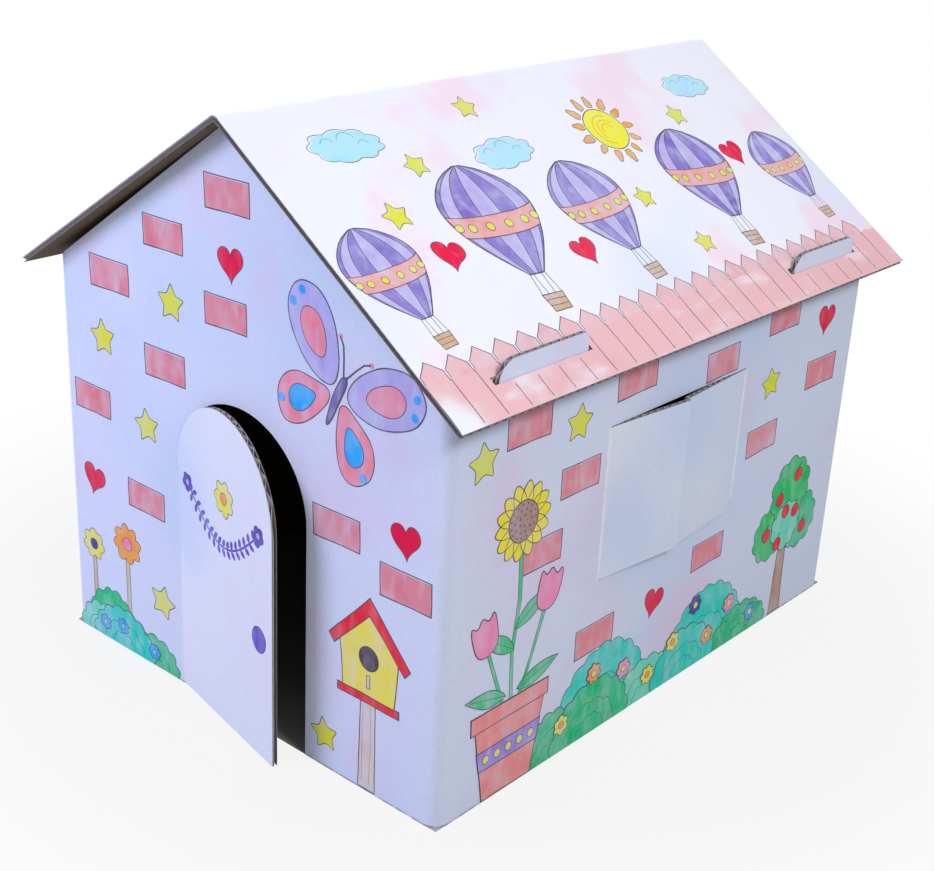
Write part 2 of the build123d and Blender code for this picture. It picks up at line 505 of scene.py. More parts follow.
def kraft_paper(name, colour):
    """Brown paper with long darker and paler fibres along the flutes and small specks."""
    material, tree, shader = new_material(name, 0.85)
    fibres = graded(tree, speckle(tree, 520, 5, stretch=(1, 1, 0.3)), 0.3, 0.7)
    specks = graded(tree, speckle(tree, 900, 2), 0.66, 0.72)
    dark, pale, speck = [tone(*(shade * value for value in colour)) for shade in kraft_shades]
    brown = mixed(tree, fibres, dark, pale)
    tree.links.new(mixed(tree, specks, brown, speck), shader.inputs["Base Color"])
    bump = add(tree, "ShaderNodeBump", {"Height": fibres, "Strength": 0.35, "Distance": 0.1 * mm})
    tree.links.new(bump.outputs[0], shader.inputs["Normal"])
    return material


brown_papers = {
    "Kraft side": kraft_paper("kraft_liner", kraft_liner),
    "Fluting": kraft_paper("kraft_fluting", kraft_fluting),
    "Cut edge": kraft_paper("cut_edge", cut_paper),
    "Kraft edge": kraft_paper("kraft_edge", cut_kraft),
}


def finish_board(sheet, printed_side, body, node):
    """Grows a sheet into corrugated board, and lets it stand for its solid."""
    own_inputs = {"Liner": liner, "Flute pitch": flute_pitch, "Printed side": printed_side}
    run_tree(sheet, board_tree, {**own_inputs, **brown_papers})
    for label in ("outward", "thick", "printed", "fluting", "inside", "rim"):
        sheet.data.attributes.remove(sheet.data.attributes[label])
    sheet.data.shade_smooth()
    sheet.data.set_sharp_from_angle(angle=sharp_edge)
    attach(sheet, body)
    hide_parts(node)


arc_steps = 16
arc_shares = [math.sin(math.pi / 2 * step / arc_steps) for step in range(-arc_steps, arc_steps + 1)]
right_corner = right_face - corner_fold
back_corner = back_face - corner_fold
tip_keys = [share * gable_tip * math.sin(pitch) for share in (-1, -0.5, 0, 0.5, 1)]
wall_keys = [right_start, right_start - fold_length, front_start, front_start - fold_length]
wall_keys += [left_start, left_start - fold_length, lap_start, lap_start + fold_length]
wall_keys += [front_start + right_corner - (doorway_middle + doorway_radius * share) for share in arc_shares]
wall_keys += [front_start + right_corner + key for key in tip_keys]
wall_keys += [front_start + right_corner - door_hinge.x + crease_run]
window_keys = [front_hinge.y - crease_run, front_hinge.y, rear_hinge.y, rear_hinge.y + crease_run]
window_keys += [rear_hinge.y - window_round * (1 + share) for share in arc_shares if share <= 0]
wall_keys += [right_start + back_corner - y for y in window_keys]
wall_keys += [right_face - raw_edge_inset + key for key in tip_keys]
for tab in tab_middles:
    ends = [tab - tab_width / 2 + tab_front_round * (1 + share) for share in arc_shares if share <= 0]
    ends += [tab + tab_width / 2 - tab_back_round * (1 + share) for share in arc_shares if share <= 0]
    wall_keys += [right_start + back_corner - y for y in ends]
    wall_keys += [left_start + back_corner + y for y in ends]
wall_board = flat_sheet("wall_board", strip_sides(wall_length, wall_keys), wall_spans, wall_point)
finish_board(wall_board, wall_card, "house", "wall_sheet")

# The roof sheet is one rectangle of the same board with its flutes up the slope, creased at the ridge
# and laid over the gables. Four slots, pressed upright by the wall's tabs, keep it from sliding.
# The fold springs open a little, so the left panel stands off its wall towards the eave.
roof_low, roof_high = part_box("roof_sheet")
roof_length = roof_high.y - roof_low.y
ridge_fold = 6 * mm
ridge_steps = 10
left_panel_spring = math.radians(1.6)
left_pitch = pitch - left_panel_spring
ridge_turn = pitch + left_pitch
slot_end_play = 4 * mm
slot_side_play = 0.5 * mm
slot_slack = 0.01 * mm
slot_length = tab_width + 2 * slot_end_play
slot_out = right_face + slot_side_play
slot_in = right_face - board - slot_side_play
slope_way = Vector((-math.cos(pitch), 0, math.sin(pitch)))
roof_up = Vector((math.sin(pitch), 0, math.cos(pitch)))
eave_corner = Vector((roof_high.x, roof_low.y, roof_low.z + board * math.cos(pitch)))
ridge_start = (eave_corner.x - board / 2 * math.sin(pitch)) / math.cos(pitch)
ridge_start -= (ridge_fold - board / 2) * math.tan(ridge_turn / 2)
ridge_end = ridge_start + ridge_fold * ridge_turn
roof_girth = ridge_start + ridge_end
slot_stops = [(eave_corner.x - x) / math.cos(pitch) for x in (slot_out, slot_in)]
left_slot_stops = [roof_girth + (roof_low.x + x) / math.cos(left_pitch) for x in (slot_out, slot_in)]
ridge_run = ridge_end - ridge_start
ridge_stops = [ridge_start + ridge_run * step / ridge_steps for step in range(ridge_steps + 1)]
eave_pink = (238, 189, 194)
eave_band = 38 * mm
roof_white = (243, 244, 253)
roof_pink = (250, 224, 240)


def in_slot(run):
    """Whether a run along the roof lies at one of the slots, ends included."""
    return any(abs(run + roof_low.y - tab) < slot_length / 2 + slot_slack for tab in tab_middles)


def roof_spans(run, middle):
    """The stretches of card from the right eave over the ridge to the left eave."""
    spans = [(0, roof_girth)]
    if in_slot(middle):
        spans = [(0, slot_stops[0]), (slot_stops[1], left_slot_stops[1]), (left_slot_stops[0], roof_girth)]
    return cut_spans(spans, ridge_stops)


def roof_point(run, rise):
    """A point of the roof's upper face, its outward way and the board's thickness there."""
    turn = min(max((rise - ridge_start) / ridge_fold, 0), ridge_turn)
    at = eave_corner + min(rise, ridge_start) * slope_way
    facing = Vector((math.sin(pitch - turn), 0, math.cos(pitch - turn)))
    at = at + ridge_fold * (facing - roof_up)
    if rise > ridge_end:
        at = at - (rise - ridge_end) * Vector((math.cos(left_pitch), 0, math.sin(left_pitch)))
    for stops, slope in ((slot_stops, pitch), (left_slot_stops, left_pitch)):
        if in_slot(run) and min(abs(rise - stop) for stop in stops) < liner / 10:
            facing = Vector((0, 0, 1 / math.cos(slope)))
    return (at.x, roof_low.y + run, at.z), tuple(facing), board


roof_card, tree, shader = new_material("roof_card", 0.72)
pink_patches = graded(tree, speckle(tree, 11, 4), 0.5, 0.66, 0, 0.85)
blue_patches = graded(tree, speckle(tree, 4, 2), 0.45, 0.65, 0, 0.45)
washed = mixed(tree, blue_patches, tone(*roof_white), tone(*card_blue))
washed = mixed(tree, pink_patches, washed, tone(*roof_pink))
band_edge = sums(tree, "MULTIPLY_ADD", speckle(tree, 70, 3), 5 * mm, attribute(tree, "rise").outputs["Fac"])
band = graded(tree, band_edge, eave_band + 3.2 * mm, eave_band + 1.8 * mm)
streaks = graded(tree, speckle(tree, 55, 4, stretch=(1, 0.35, 1)), 0.26, 0.5, 0.3, 1.0)
bare_patch = graded(tree, speckle(tree, 13, 3, turn=(0.3, 0.2, 0.7)), 0.28, 0.42, 0.15, 1.0)
corner_way = add(
    tree,
    "ShaderNodeCombineXYZ",
    {0: attribute(tree, "run").outputs["Fac"], 1: attribute(tree, "rise").outputs["Fac"]},
).outputs[0]
from_corner = add(tree, "ShaderNodeVectorMath", {0: corner_way}, operation="LENGTH").outputs["Value"]
from_corner = sums(tree, "MULTIPLY_ADD", speckle(tree, 60, 3), 24 * mm, from_corner)
bare_corner = graded(tree, from_corner, 24 * mm, 48 * mm, 0.03, 1.0)
band = sums(tree, "MULTIPLY", band, streaks)
band = sums(tree, "MULTIPLY", band, sums(tree, "MULTIPLY", bare_patch, bare_corner))
tree.links.new(mixed(tree, band, washed, tone(*eave_pink)), shader.inputs["Base Color"])
card_relief(tree, shader)
roof_keys = []
for tab in tab_middles:
    roof_keys += [tab - roof_low.y - slot_length / 2, tab - roof_low.y + slot_length / 2]
roof_board = flat_sheet("roof_board", strip_sides(roof_length, roof_keys), roof_spans, roof_point)
finish_board(roof_board, roof_card, "house", "roof_sheet")

# The door is an arched flap cut out of the front wall. It turns on a crease at its left side,
# where the outer liner is left whole, and stands a little ajar.
door_rest = math.radians(12)
door_floor_gap = 1.5 * mm
crease_gap = 0.3 * mm
door_way = Vector((math.cos(door_rest), -math.sin(door_rest), 0))


def leaf_plane(place, way):
    """The flat of a leaf's printed side, from its hinge at the floor, with its outward way as third axis."""
    facing = way.cross(Vector((0, 0, 1)))
    if facing.dot(Vector((place.x, place.y, 0))) < 0:
        facing = -facing
    return Vector((place.x, place.y, 0)), way, facing


def leaf_point(plane):
    """The point function of a leaf whose runs start at its hinge."""
    start, way, facing = plane

    def point(run, rise):
        """A point of the leaf's printed side, its outward way and the board's thickness there."""
        thick = crease_board + (board - crease_board) * min(1, run / crease_run)
        at = start + (run + crease_gap) * way
        return (at.x, at.y, rise), tuple(facing), thick

    return point


def door_spans(run, middle):
    """The door's upright stretch of card at a run from its hinge."""
    off = run + crease_gap - (door_width + crease_gap) / 2
    radius = (door_width - crease_gap) / 2
    return [(door_floor_gap, door_spring + math.sqrt(max(0, radius * radius - off * off)))]


door_plane = leaf_plane(door_hinge, door_way)
door_run = door_width - crease_gap
door_keys = [crease_run] + [door_run / 2 * (1 + share) for share in arc_shares]
door_board = flat_sheet("door_board", strip_sides(door_run, door_keys), door_spans, leaf_point(door_plane))
finish_board(door_board, leaf_card, "door", "door_leaf")

# The two shutters are the halves of the window's flap. Each turns on a crease at the window's side,
# and their free edges meet at the middle, standing a little ajar.
front_rest = math.radians(6)
rear_rest = math.radians(4)
shutter_run = (rear_hinge.y - front_hinge.y - cut_gap) / 2 - crease_gap
shutter_low = window_sill + cut_gap
shutter_high = window_top - cut_gap
front_way = Vector((math.sin(front_rest), math.cos(front_rest), 0))
rear_way = Vector((math.sin(rear_rest), -math.cos(rear_rest), 0))
rear_keys = [crease_run] + [window_round * (1 + share) for share in arc_shares if share <= 0]
front_plane = leaf_plane(front_hinge, front_way)
rear_plane = leaf_plane(rear_hinge, rear_way)


def front_spans(run, middle):
    """The front shutter's upright stretch of card."""
    return [(shutter_low, shutter_high)]


def rear_spans(run, middle):
    """The rear shutter's stretch of card, rounded at its lower hinge corner."""
    return [(shutter_low + quarter_drop(run, window_round), shutter_high)]


front_sides = strip_sides(shutter_run, [crease_run])
front_shutter = flat_sheet("front_shutter_board", front_sides, front_spans, leaf_point(front_plane))
finish_board(front_shutter, leaf_card, "shutter_front", "front_shutter")
rear_sides = strip_sides(shutter_run, rear_keys)
rear_shutter = flat_sheet("rear_shutter_board", rear_sides, rear_spans, leaf_point(rear_plane))
finish_board(rear_shutter, leaf_card, "shutter_rear", "rear_shutter")

# Along each crease the outer liner runs on from the wall to the leaf, pressed up into a low bead.
# It is the same paper as the liner on either side.
crease_reach = 1.5 * mm
bead_height = 0.45 * mm
bead_cover = 0.02 * mm
bead_depth = 0.25 * mm
bead_steps = 12
# The crease beads carry a painted highlight: a paler white in patches, standing for the light that the bent
# paper catches.
crease_highlight_white = (250, 248, 255)


def creased_card(name, most):
    """The card along a crease, with a painted highlight of paler white over its washes, up to a share."""
    material, tree, shader = new_material(name, 0.6)
    crease_highlight = graded(tree, speckle(tree, 160, 4), 0.25, 0.6, most / 3, most)
    tree.links.new(mixed(tree, crease_highlight, card_colour(tree), tone(*crease_highlight_white)), shader.inputs["Base Color"])
    return material


door_crease_card = creased_card("door_crease_card", 0.1)
shutter_crease_card = creased_card("shutter_crease_card", 0.7)


def crease_bead(name, wall_way, leaf, heights, card):
    """A strip of liner over a crease, which bends between the house and a leaf."""
    start, leaf_way, leaf_facing = leaf
    wall_facing = Vector((wall_way.y, -wall_way.x, 0))
    if wall_facing.dot(leaf_facing) < 0:
        wall_facing = -wall_facing
    section = []
    for step in range(-bead_steps, bead_steps + 1):
        share = step / bead_steps
        far = abs(share) * crease_reach
        way, facing = (wall_way, wall_facing) if share < 0 else (leaf_way, leaf_facing)
        lift = bead_height * math.cos(share * math.pi / 2) ** 2 + bead_cover
        at = start + far * way
        section.append((at + lift * facing, at - bead_depth * facing))
    rim = [upper for upper, lower in section] + [lower for upper, lower in reversed(section)]
    count = len(rim)
    points = [point + Vector((0, 0, rise)) for rise in heights for point in rim]
    faces = [(here, (here + 1) % count, (here + 1) % count + count, here + count) for here in range(count)]
    half = len(section)
    for step in range(half - 1):
        faces.append((step + 1, step, count - 1 - step, count - 2 - step))
        faces.append(tuple(count + number for number in (step, step + 1, count - 2 - step, count - 1 - step)))
    mesh = bpy.data.meshes.new(name)
    mesh.from_pydata(points, [], faces)
    builder = bmesh.new()
    builder.from_mesh(mesh)
    bmesh.ops.recalc_face_normals(builder, faces=builder.faces)
    builder.to_mesh(mesh)
    builder.free()
    mesh.materials.append(card)
    mesh.shade_smooth()
    mesh.set_sharp_from_angle(angle=sharp_edge)
    bead = linked(name, mesh)
    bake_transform(bead)


to_left = Vector((-1, 0, 0))
to_front = Vector((0, -1, 0))
door_heights = (door_floor_gap, door_spring)
front_heights = (shutter_low, shutter_high)
rear_heights = (shutter_low + window_round, shutter_high)
crease_bead("door_bead", to_left, door_plane, door_heights, door_crease_card)
crease_bead("front_shutter_bead", to_front, front_plane, front_heights, shutter_crease_card)
crease_bead("rear_shutter_bead", -to_front, rear_plane, rear_heights, shutter_crease_card)

# Painted bricks stand scattered over the door wall and the window wall. Each is a thin pen outline
# filled by hand with pink watercolour, which is uneven and does not quite reach its line.
coat = 0.04 * mm
pen = 0.75
hand_seed = 11
even_wash = 0.5
ink_grey = tone(88, 84, 96, 1.0)
brick_size = (44, 23)
brick_pink = tone(233, 146, 158, 0.1)
front_panel = Matrix(((1, 0, 0, 0), (0, 0, -1, -back_face), (0, 1, 0, 0), (0, 0, 0, 1)))
side_panel = Matrix(((0, 0, 1, right_face), (1, 0, 0, -back_face), (0, 1, 0, 0), (0, 0, 0, 1)))
front_bricks = [(-5, 395), (-73, 354), (-136, 310), (-8, 313), (-75, 257), (-163, 206), (-102, 142)]
front_bricks += [(101, 192), (165, 171)]
side_bricks = [(74, 275), (133, 221), (191, 278), (165, 84), (309, 102), (301, 262), (372, 180)]
side_bricks += [(455, 217), (386, 279), (95, 177)]
noise.seed_set(hand_seed)


def ring_area(outline):
    """Twice the signed area of an outline."""
    return sum(x1 * y2 - x2 * y1 for (x1, y1), (x2, y2) in zip(outline, outline[1:] + outline[:1]))


def new_drawing():
    """An empty drawing on the flat, whose points carry their pigment."""
    drawing = bmesh.new()
    drawing.verts.layers.float_color.new("pigment")
    return drawing


def ring(drawing, outline, height, colour):
    """The points of an outline, given in millimetres, at a height over the card."""
    pigment = drawing.verts.layers.float_color["pigment"]
    points = [drawing.verts.new((x * mm, y * mm, height)) for x, y in outline]
    for point in points:
        point[pigment] = colour
    return points


def paint(drawing, outline, colour, level=1):
    """A closed coat of paint within an outline."""
    outline = outline if ring_area(outline) > 0 else outline[::-1]
    lower = ring(drawing, outline, 0, colour)
    upper = ring(drawing, outline, level * coat, colour)
    drawing.faces.new(upper)
    drawing.faces.new(lower[::-1])
    for here in range(len(outline)):
        there = here - 1
        drawing.faces.new((lower[there], lower[here], upper[here], upper[there]))


def ink(drawing, outline, level=2, width=pen, closed=True, colour=ink_grey):
    """A pen line along an outline, a little uneven in its width."""
    left, right = [], []
    count = len(outline)
    for here, (x, y) in enumerate(outline):
        before = Vector(outline[here - 1] if here or closed else outline[0])
        after = Vector(outline[(here + 1) % count] if here < count - 1 or closed else outline[-1])
        way_in = (Vector((x, y)) - before).normalized()
        way_out = (after - Vector((x, y))).normalized()
        way = (way_in + way_out).normalized() if (way_in + way_out).length > 0.01 else way_in
        side = Vector((-way.y, way.x))
        mitre = max(0.55, abs(way.dot(way_in)) if way_in.length else 1)
        wide = width / 2 / mitre * (1 + 0.3 * noise.noise(Vector((x, y, count)) * 0.11))
        left.append((x + side.x * wide, y + side.y * wide))
        right.append((x - side.x * wide, y - side.y * wide))
    rails = [
        ring(drawing, right, 0, colour),
        ring(drawing, right, level * coat, colour),
        ring(drawing, left, level * coat, colour),
        ring(drawing, left, 0, colour),
    ]
    for here in range(count if closed else count - 1):
        there = (here + 1) % count
        for one, other in zip(rails, rails[1:] + rails[:1]):
            drawing.faces.new((one[here], one[there], other[there], other[here]))
    if not closed:
        drawing.faces.new([rail[0] for rail in rails])
        drawing.faces.new([rail[-1] for rail in rails[::-1]])


def painted(drawing, outline, colour, level=1, width=pen):
    """A coat of paint within an outline, and the pen line round it."""
    paint(drawing, outline, colour, level)
    ink(drawing, outline, level + 1, width)


def by_hand(outline, amount=0.5, scale=0.05, seed=0):
    """An outline with the small sways of a drawing hand."""
    moved = []
    for x, y in outline:
        sway = noise.noise_vector(Vector((x * scale, y * scale, seed * 7.3)))
        moved.append((x + amount * sway.x, y + amount * sway.y))
    return moved


def placed(outline, x=0, y=0, size=1.0, turn=0.0):
    """An outline scaled, turned by degrees and moved."""
    cosine = math.cos(math.radians(turn)) * size
    sine = math.sin(math.radians(turn)) * size
    return [(x + cosine * px - sine * py, y + sine * px + cosine * py) for px, py in outline]


def divided(outline, steps):
    """A closed outline with each side divided into steps."""
    points = []
    for (x1, y1), (x2, y2) in zip(outline, outline[1:] + outline[:1]):
        points += [(x1 + (x2 - x1) * step / steps, y1 + (y2 - y1) * step / steps) for step in range(steps)]
    return points


def box_outline(width, height, steps=5):
    """A rectangle round its middle."""
    w, h = width / 2, height / 2
    return divided([(-w, -h), (w, -h), (w, h), (-w, h)], steps)


watercolour, tree, shader = new_material("watercolour", 0.68)
pigment = attribute(tree, "pigment")
strokes = graded(tree, speckle(tree, 110, 5, stretch=(1, 1, 0.35), turn=(0.5, 0.6, 0)), 0.24, 0.56, 0.58, 1.0)
pools = graded(tree, speckle(tree, 42, 4), 0.3, 0.62, 0.74, 1.0)
wet = graded(tree, attribute(tree, "wash").outputs["Fac"], 0, 1, 0.85, 1.12)
cover = sums(tree, "MULTIPLY", sums(tree, "MULTIPLY", strokes, pools), wet)
thicker = {0: pigment.outputs["Alpha"], 2: cover, 3: 1.0}
cover = add(tree, "ShaderNodeMix", thicker, data_type="FLOAT").outputs[0]
deep = mixed(tree, 1.0, pigment.outputs["Color"], pigment.outputs["Color"], "MULTIPLY")
pooled = graded(tree, speckle(tree, 60, 2, turn=(0.2, 0.1, 0.9)), 0.5, 0.75, 0, 0.35)
pigment_colour = mixed(tree, pooled, pigment.outputs["Color"], deep)
tree.links.new(mixed(tree, cover, card_colour(tree), pigment_colour), shader.inputs["Base Color"])
grain = add(tree, "ShaderNodeBump", {"Height": speckle(tree, 700, 3), "Strength": 0.3, "Distance": 0.08 * mm})
tree.links.new(grain.outputs[0], shader.inputs["Normal"])


def drawn_piece(name, drawing, panel, body="house"):
    """Puts a drawing on its panel and lets it ride with the board under it."""
    mesh = bpy.data.meshes.new(name)
    drawing.to_mesh(mesh)
    drawing.free()
    mesh.attributes.new("wash", "FLOAT", "POINT").data.foreach_set("value", [even_wash] * len(mesh.vertices))
    mesh.materials.append(watercolour)
    mesh.transform(panel)
    piece = linked(name, mesh)
    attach(piece, body)


# The repeats' tree sets one motif on many places, each turned and sized a little differently
repeat_tree, given = tree_with(
    "painted_repeats",
    (
        ("Places", "Geometry"),
        ("Motif", "Object"),
        ("Turn spread", "Float"),
        ("Size spread", "Float"),
        ("Seed", "Int"),
        ("Paint", "Material"),
    ),
)


def spread(low, high, shift):
    """A random number for each place."""
    seed = sums(repeat_tree, "ADD", given["Seed"], float(shift))
    random = add(repeat_tree, "FunctionNodeRandomValue", {2: low, 3: high, 8: seed}, data_type="FLOAT")
    return random.outputs[1]


less_turn = sums(repeat_tree, "MULTIPLY", given["Turn spread"], -1.0)
turned = sums(repeat_tree, "ADD", field(repeat_tree, "turn"), spread(less_turn, given["Turn spread"], 0))
less_size = sums(repeat_tree, "SUBTRACT", 1.0, given["Size spread"])
more_size = sums(repeat_tree, "ADD", 1.0, given["Size spread"])
sized = sums(repeat_tree, "MULTIPLY", field(repeat_tree, "size"), spread(less_size, more_size, 1))
angles = add(repeat_tree, "ShaderNodeCombineXYZ", {2: turned}).outputs[0]
motif = add(repeat_tree, "GeometryNodeObjectInfo", {"Object": given["Motif"]}).outputs["Geometry"]
scales = add(repeat_tree, "ShaderNodeCombineXYZ", {0: sized, 1: sized, 2: 1.0}).outputs[0]
turns = add(repeat_tree, "FunctionNodeEulerToRotation", {0: angles}).outputs[0]
setting = {"Points": given["Places"], "Instance": motif, "Rotation": turns, "Scale": scales}
copies = made(repeat_tree, "InstanceOnPoints", setting)
washing = {"Geometry": copies, "Name": "wash", "Value": spread(0.0, 1.0, 2)}
copies = made(repeat_tree, "StoreNamedAttribute", washing, data_type="FLOAT", domain="INSTANCE")
copies = made(repeat_tree, "RealizeInstances", {"Geometry": copies})
copies = made(repeat_tree, "SetMaterial", {"Geometry": copies, "Material": given["Paint"]})
add(repeat_tree, "NodeGroupOutput", {0: copies})


def repeated_piece(name, drawing, places, panel, turn_spread, size_spread, seed):
    """One motif at many places of a panel: x and y in millimetres, and a turn and a size if given."""
    shape = bpy.data.meshes.new(name + "_motif")
    drawing.to_mesh(shape)
    drawing.free()
    motif_piece = linked(name + "_motif", shape)
    mesh = bpy.data.meshes.new(name)
    mesh.from_pydata([(place[0] * mm, place[1] * mm, 0) for place in places], [], [])
    turns = [math.radians(place[2]) if len(place) > 2 else 0.0 for place in places]
    sizes = [place[3] if len(place) > 3 else 1.0 for place in places]
    mesh.attributes.new("turn", "FLOAT", "POINT").data.foreach_set("value", turns)
    mesh.attributes.new("size", "FLOAT", "POINT").data.foreach_set("value", sizes)
    piece = linked(name, mesh)
    spreads = {"Turn spread": math.radians(turn_spread), "Size spread": size_spread, "Seed": seed}
    run_tree(piece, repeat_tree, {**spreads, "Motif": motif_piece, "Paint": watercolour})
    bpy.data.objects.remove(motif_piece)
    piece.data.transform(panel)
    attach(piece, "house")


def brick_drawing():
    """One brick: its wash stops short of the line on one side and runs over it on the other."""
    drawing = new_drawing()
    width, height = brick_size
    paint(drawing, by_hand(placed(box_outline(width - 0.8, height - 1.4), 0.3, -0.2), 0.9, 0.09), brick_pink)
    ink(drawing, by_hand(box_outline(width, height), 0.5, 0.06))
    return drawing


repeated_piece("front_bricks", brick_drawing(), front_bricks, front_panel, 1.2, 0.04, 3)
repeated_piece("side_bricks", brick_drawing(), side_bricks, side_panel, 1.2, 0.04, 8)

# Yellow stars and red hearts are scattered between the bricks and over the right side of the roof,
# drawn with the same pen and filled with thicker paint.
roof_panel = Matrix.Translation(eave_corner) @ Matrix(
    ((0, slope_way.x, roof_up.x, 0), (1, 0, 0, 0), (0, slope_way.z, roof_up.z, 0), (0, 0, 0, 1))
)
star_radius = 14
star_yellow = tone(232, 230, 66, 0.5)
heart_width = 25
heart_red = tone(236, 16, 74, 0.8)
front_stars = [(-147, 259, 6), (-66, 306, -4), (-98, 203, 8), (-86, 61, -14), (92, 27, 10)]
side_stars = [(30, 262, 4), (127, 262, -6), (376, 226, 10)]
roof_stars = [
    (126, 195, 8, 0.8),
    (212, 236, -8, 0.8),
    (77, 159, 12, 0.8),
    (314, 124, 4, 0.75),
    (337, 73, -6, 0.75),
    (429, 191, 9, 0.75),
]
front_hearts = [(-2, 350, 4), (-166, 139, -8), (164, 206, 3)]
side_hearts = [(453, 263, -8), (239, 85, -16)]
roof_hearts = [(95, 121, -18), (213, 96, 6), (458, 144, 4)]


def rounded(points, rounds=2):
    """A closed outline with its corners cut round."""
    for turn in range(rounds):
        cut = []
        for (x1, y1), (x2, y2) in zip(points, points[1:] + points[:1]):
            cut += [((1 - far) * x1 + far * x2, (1 - far) * y1 + far * y2) for far in (0.25, 0.75)]
        points = cut
    return points


def circle(radius, count=28, flat=1.0):
    """A round or oval outline."""
    angles = [math.tau * step / count for step in range(count)]
    return [(radius * math.cos(angle), radius * flat * math.sin(angle)) for angle in angles]


def star_outline(radius):
    """A plump star with five softened tips."""
    corners = []
    for step in range(10):
        reach = radius * (1.08 if step % 2 == 0 else 0.56)
        angle = math.pi / 2 + math.tau * step / 10
        corners.append((reach * math.cos(angle), reach * math.sin(angle)))
    return rounded(divided(corners, 2), 2)


def heart_outline(width):
    """A heart with its point down."""
    outline = []
    for step in range(44):
        angle = math.tau * (step + 0.5) / 44
        x = 16 * math.sin(angle) ** 3
        y = 13 * math.cos(angle) - 5 * math.cos(2 * angle) - 2 * math.cos(3 * angle) - math.cos(4 * angle)
        outline.append((x * width / 32, y * width / 30))
    return outline


def star_drawing():
    """One star, its paint a little off its line."""
    drawing = new_drawing()
    paint(drawing, placed(by_hand(star_outline(star_radius * 0.97), 0.8, 0.12), 0.4, -0.4), star_yellow)
    ink(drawing, by_hand(star_outline(star_radius), 0.5, 0.1), width=0.6)
    return drawing


def heart_drawing():
    """One heart, its paint just inside its line."""
    drawing = new_drawing()
    paint(drawing, by_hand(heart_outline(heart_width), 0.8, 0.1), heart_red)
    ink(drawing, by_hand(heart_outline(heart_width + 0.6), 0.5, 0.1), width=0.55)
    return drawing


repeated_piece("front_stars", star_drawing(), front_stars, front_panel, 4, 0.06, 5)
repeated_piece("side_stars", star_drawing(), side_stars, side_panel, 4, 0.06, 6)
repeated_piece("roof_stars", star_drawing(), roof_stars, roof_panel, 6, 0.06, 7)
repeated_piece("front_hearts", heart_drawing(), front_hearts, front_panel, 3, 0.05, 9)
repeated_piece("side_hearts", heart_drawing(), side_hearts, side_panel, 3, 0.05, 10)
repeated_piece("roof_hearts", heart_drawing(), roof_hearts, roof_panel, 3, 0.05, 11)

# Bushes grow along the foot of both walls: overlapping scalloped mounds in greens from teal to jade,
# washed wet in wet, with small flowers on them and two taller flowers beside the door.
bush_teal = tone(40, 216, 200, 0.2)
bush_green = tone(24, 200, 132, 0.2)
bush_light = tone(116, 226, 196, 0.1)
scallop_green = tone(20, 120, 104)
stem_beige = tone(214, 196, 166, 0.1)
flower_yellow = tone(242, 234, 100, 0.25)
flower_orange = tone(250, 166, 58, 0.25)
flower_pink = tone(250, 146, 190, 0.25)
flower_blue = tone(48, 170, 248, 0.25)
flower_navy = tone(70, 66, 164, 0.5)


def mound_outline(width, height, bumps, bump):
    """A mound on the ground with a scalloped top."""
    outline = [(-width / 2, 0)]
    steps = 10 * bumps
    for step in range(steps + 1):
        angle = math.pi * (1 - step / steps)
        puff = bump * abs(math.sin(bumps * angle))
        outline.append(((width / 2 + puff) * math.cos(angle), (height + puff) * math.sin(angle) + 0.2))
    outline.append((width / 2, 0))
    return outline


def flower_outline(radius, petals, depth=0.2):
    """A flower head with round petals."""
    outline = []
    for step in range(10 * petals):
        angle = math.tau * step / (10 * petals)
        reach = radius * (1 - depth + depth * abs(math.sin(petals * angle / 2)) * 1.3)
        outline.append((reach * math.cos(angle), reach * math.sin(angle)))
    return outline


def flower(drawing, x, y, radius, petals, colour, eye, level=3, seed=0):
    """A painted flower head with a coloured eye."""
    head = by_hand(placed(flower_outline(radius, petals), x, y, turn=17 * seed), 0.06 * radius, 0.1, seed)
    middle = by_hand(placed(circle(radius * 0.36, 16), x, y), 0.05 * radius, 0.2, seed)
    painted(drawing, head, colour, level, 0.5)
    painted(drawing, middle, eye, level + 1, 0.4)


def bush(drawing, mounds, level=1):
    """Overlapping mounds, the last in front, each with a few pen scallops on it."""
    for number, (x, width, height, bumps, colour) in enumerate(mounds):
        outline = by_hand(placed(mound_outline(width, height, bumps, 3.2), x, 0.4), 1.0, 0.06, number)
        outline = [(px, max(0.3, py)) for px, py in outline]
        paint(drawing, outline, colour, level + 2 * number)
        ink(drawing, outline[1:-1], level + 2 * number + 1, width=0.5, closed=False)
        for share in (0.62, 0.34):
            inner = placed(mound_outline(width * share, height * share, max(3, bumps - 3), 2.2), x, 0.5)
            inner = by_hand(inner, 1.6, 0.05, number + 5)[2:-2]
            ink(drawing, inner, level + 2 * number + 1, width=0.4, closed=False, colour=scallop_green)


drawing = new_drawing()
for x, y, radius, petals, colour, eye, seed in (
    (-171, 80, 12.5, 7, flower_yellow, flower_navy, 1),
    (-128, 95, 16, 8, flower_orange, flower_pink, 2),
):
    stem = by_hand([(x - 2.4, 20), (x + 2.4, 20), (x + 2.2, y), (x - 2.2, y)], 0.5, 0.1, seed)
    painted(drawing, stem, stem_beige, 1, 0.5)
    flower(drawing, x, y, radius, petals, colour, eye, level=3, seed=seed)
bush(
    drawing,
    (
        (-150, 62, 44, 8, bush_green),
        (-100, 60, 24, 7, bush_green),
        (-166, 48, 26, 6, bush_light),
        (-136, 74, 32, 8, bush_teal),
    ),
    level=3,
)
for x, y in ((-160, 14), (-137, 19), (-98, 12)):
    flower(drawing, x, y, 6.5, 6, flower_blue, bush_light, level=11, seed=x % 5)
drawn_piece("front_bushes", drawing, front_panel)
drawing = new_drawing()
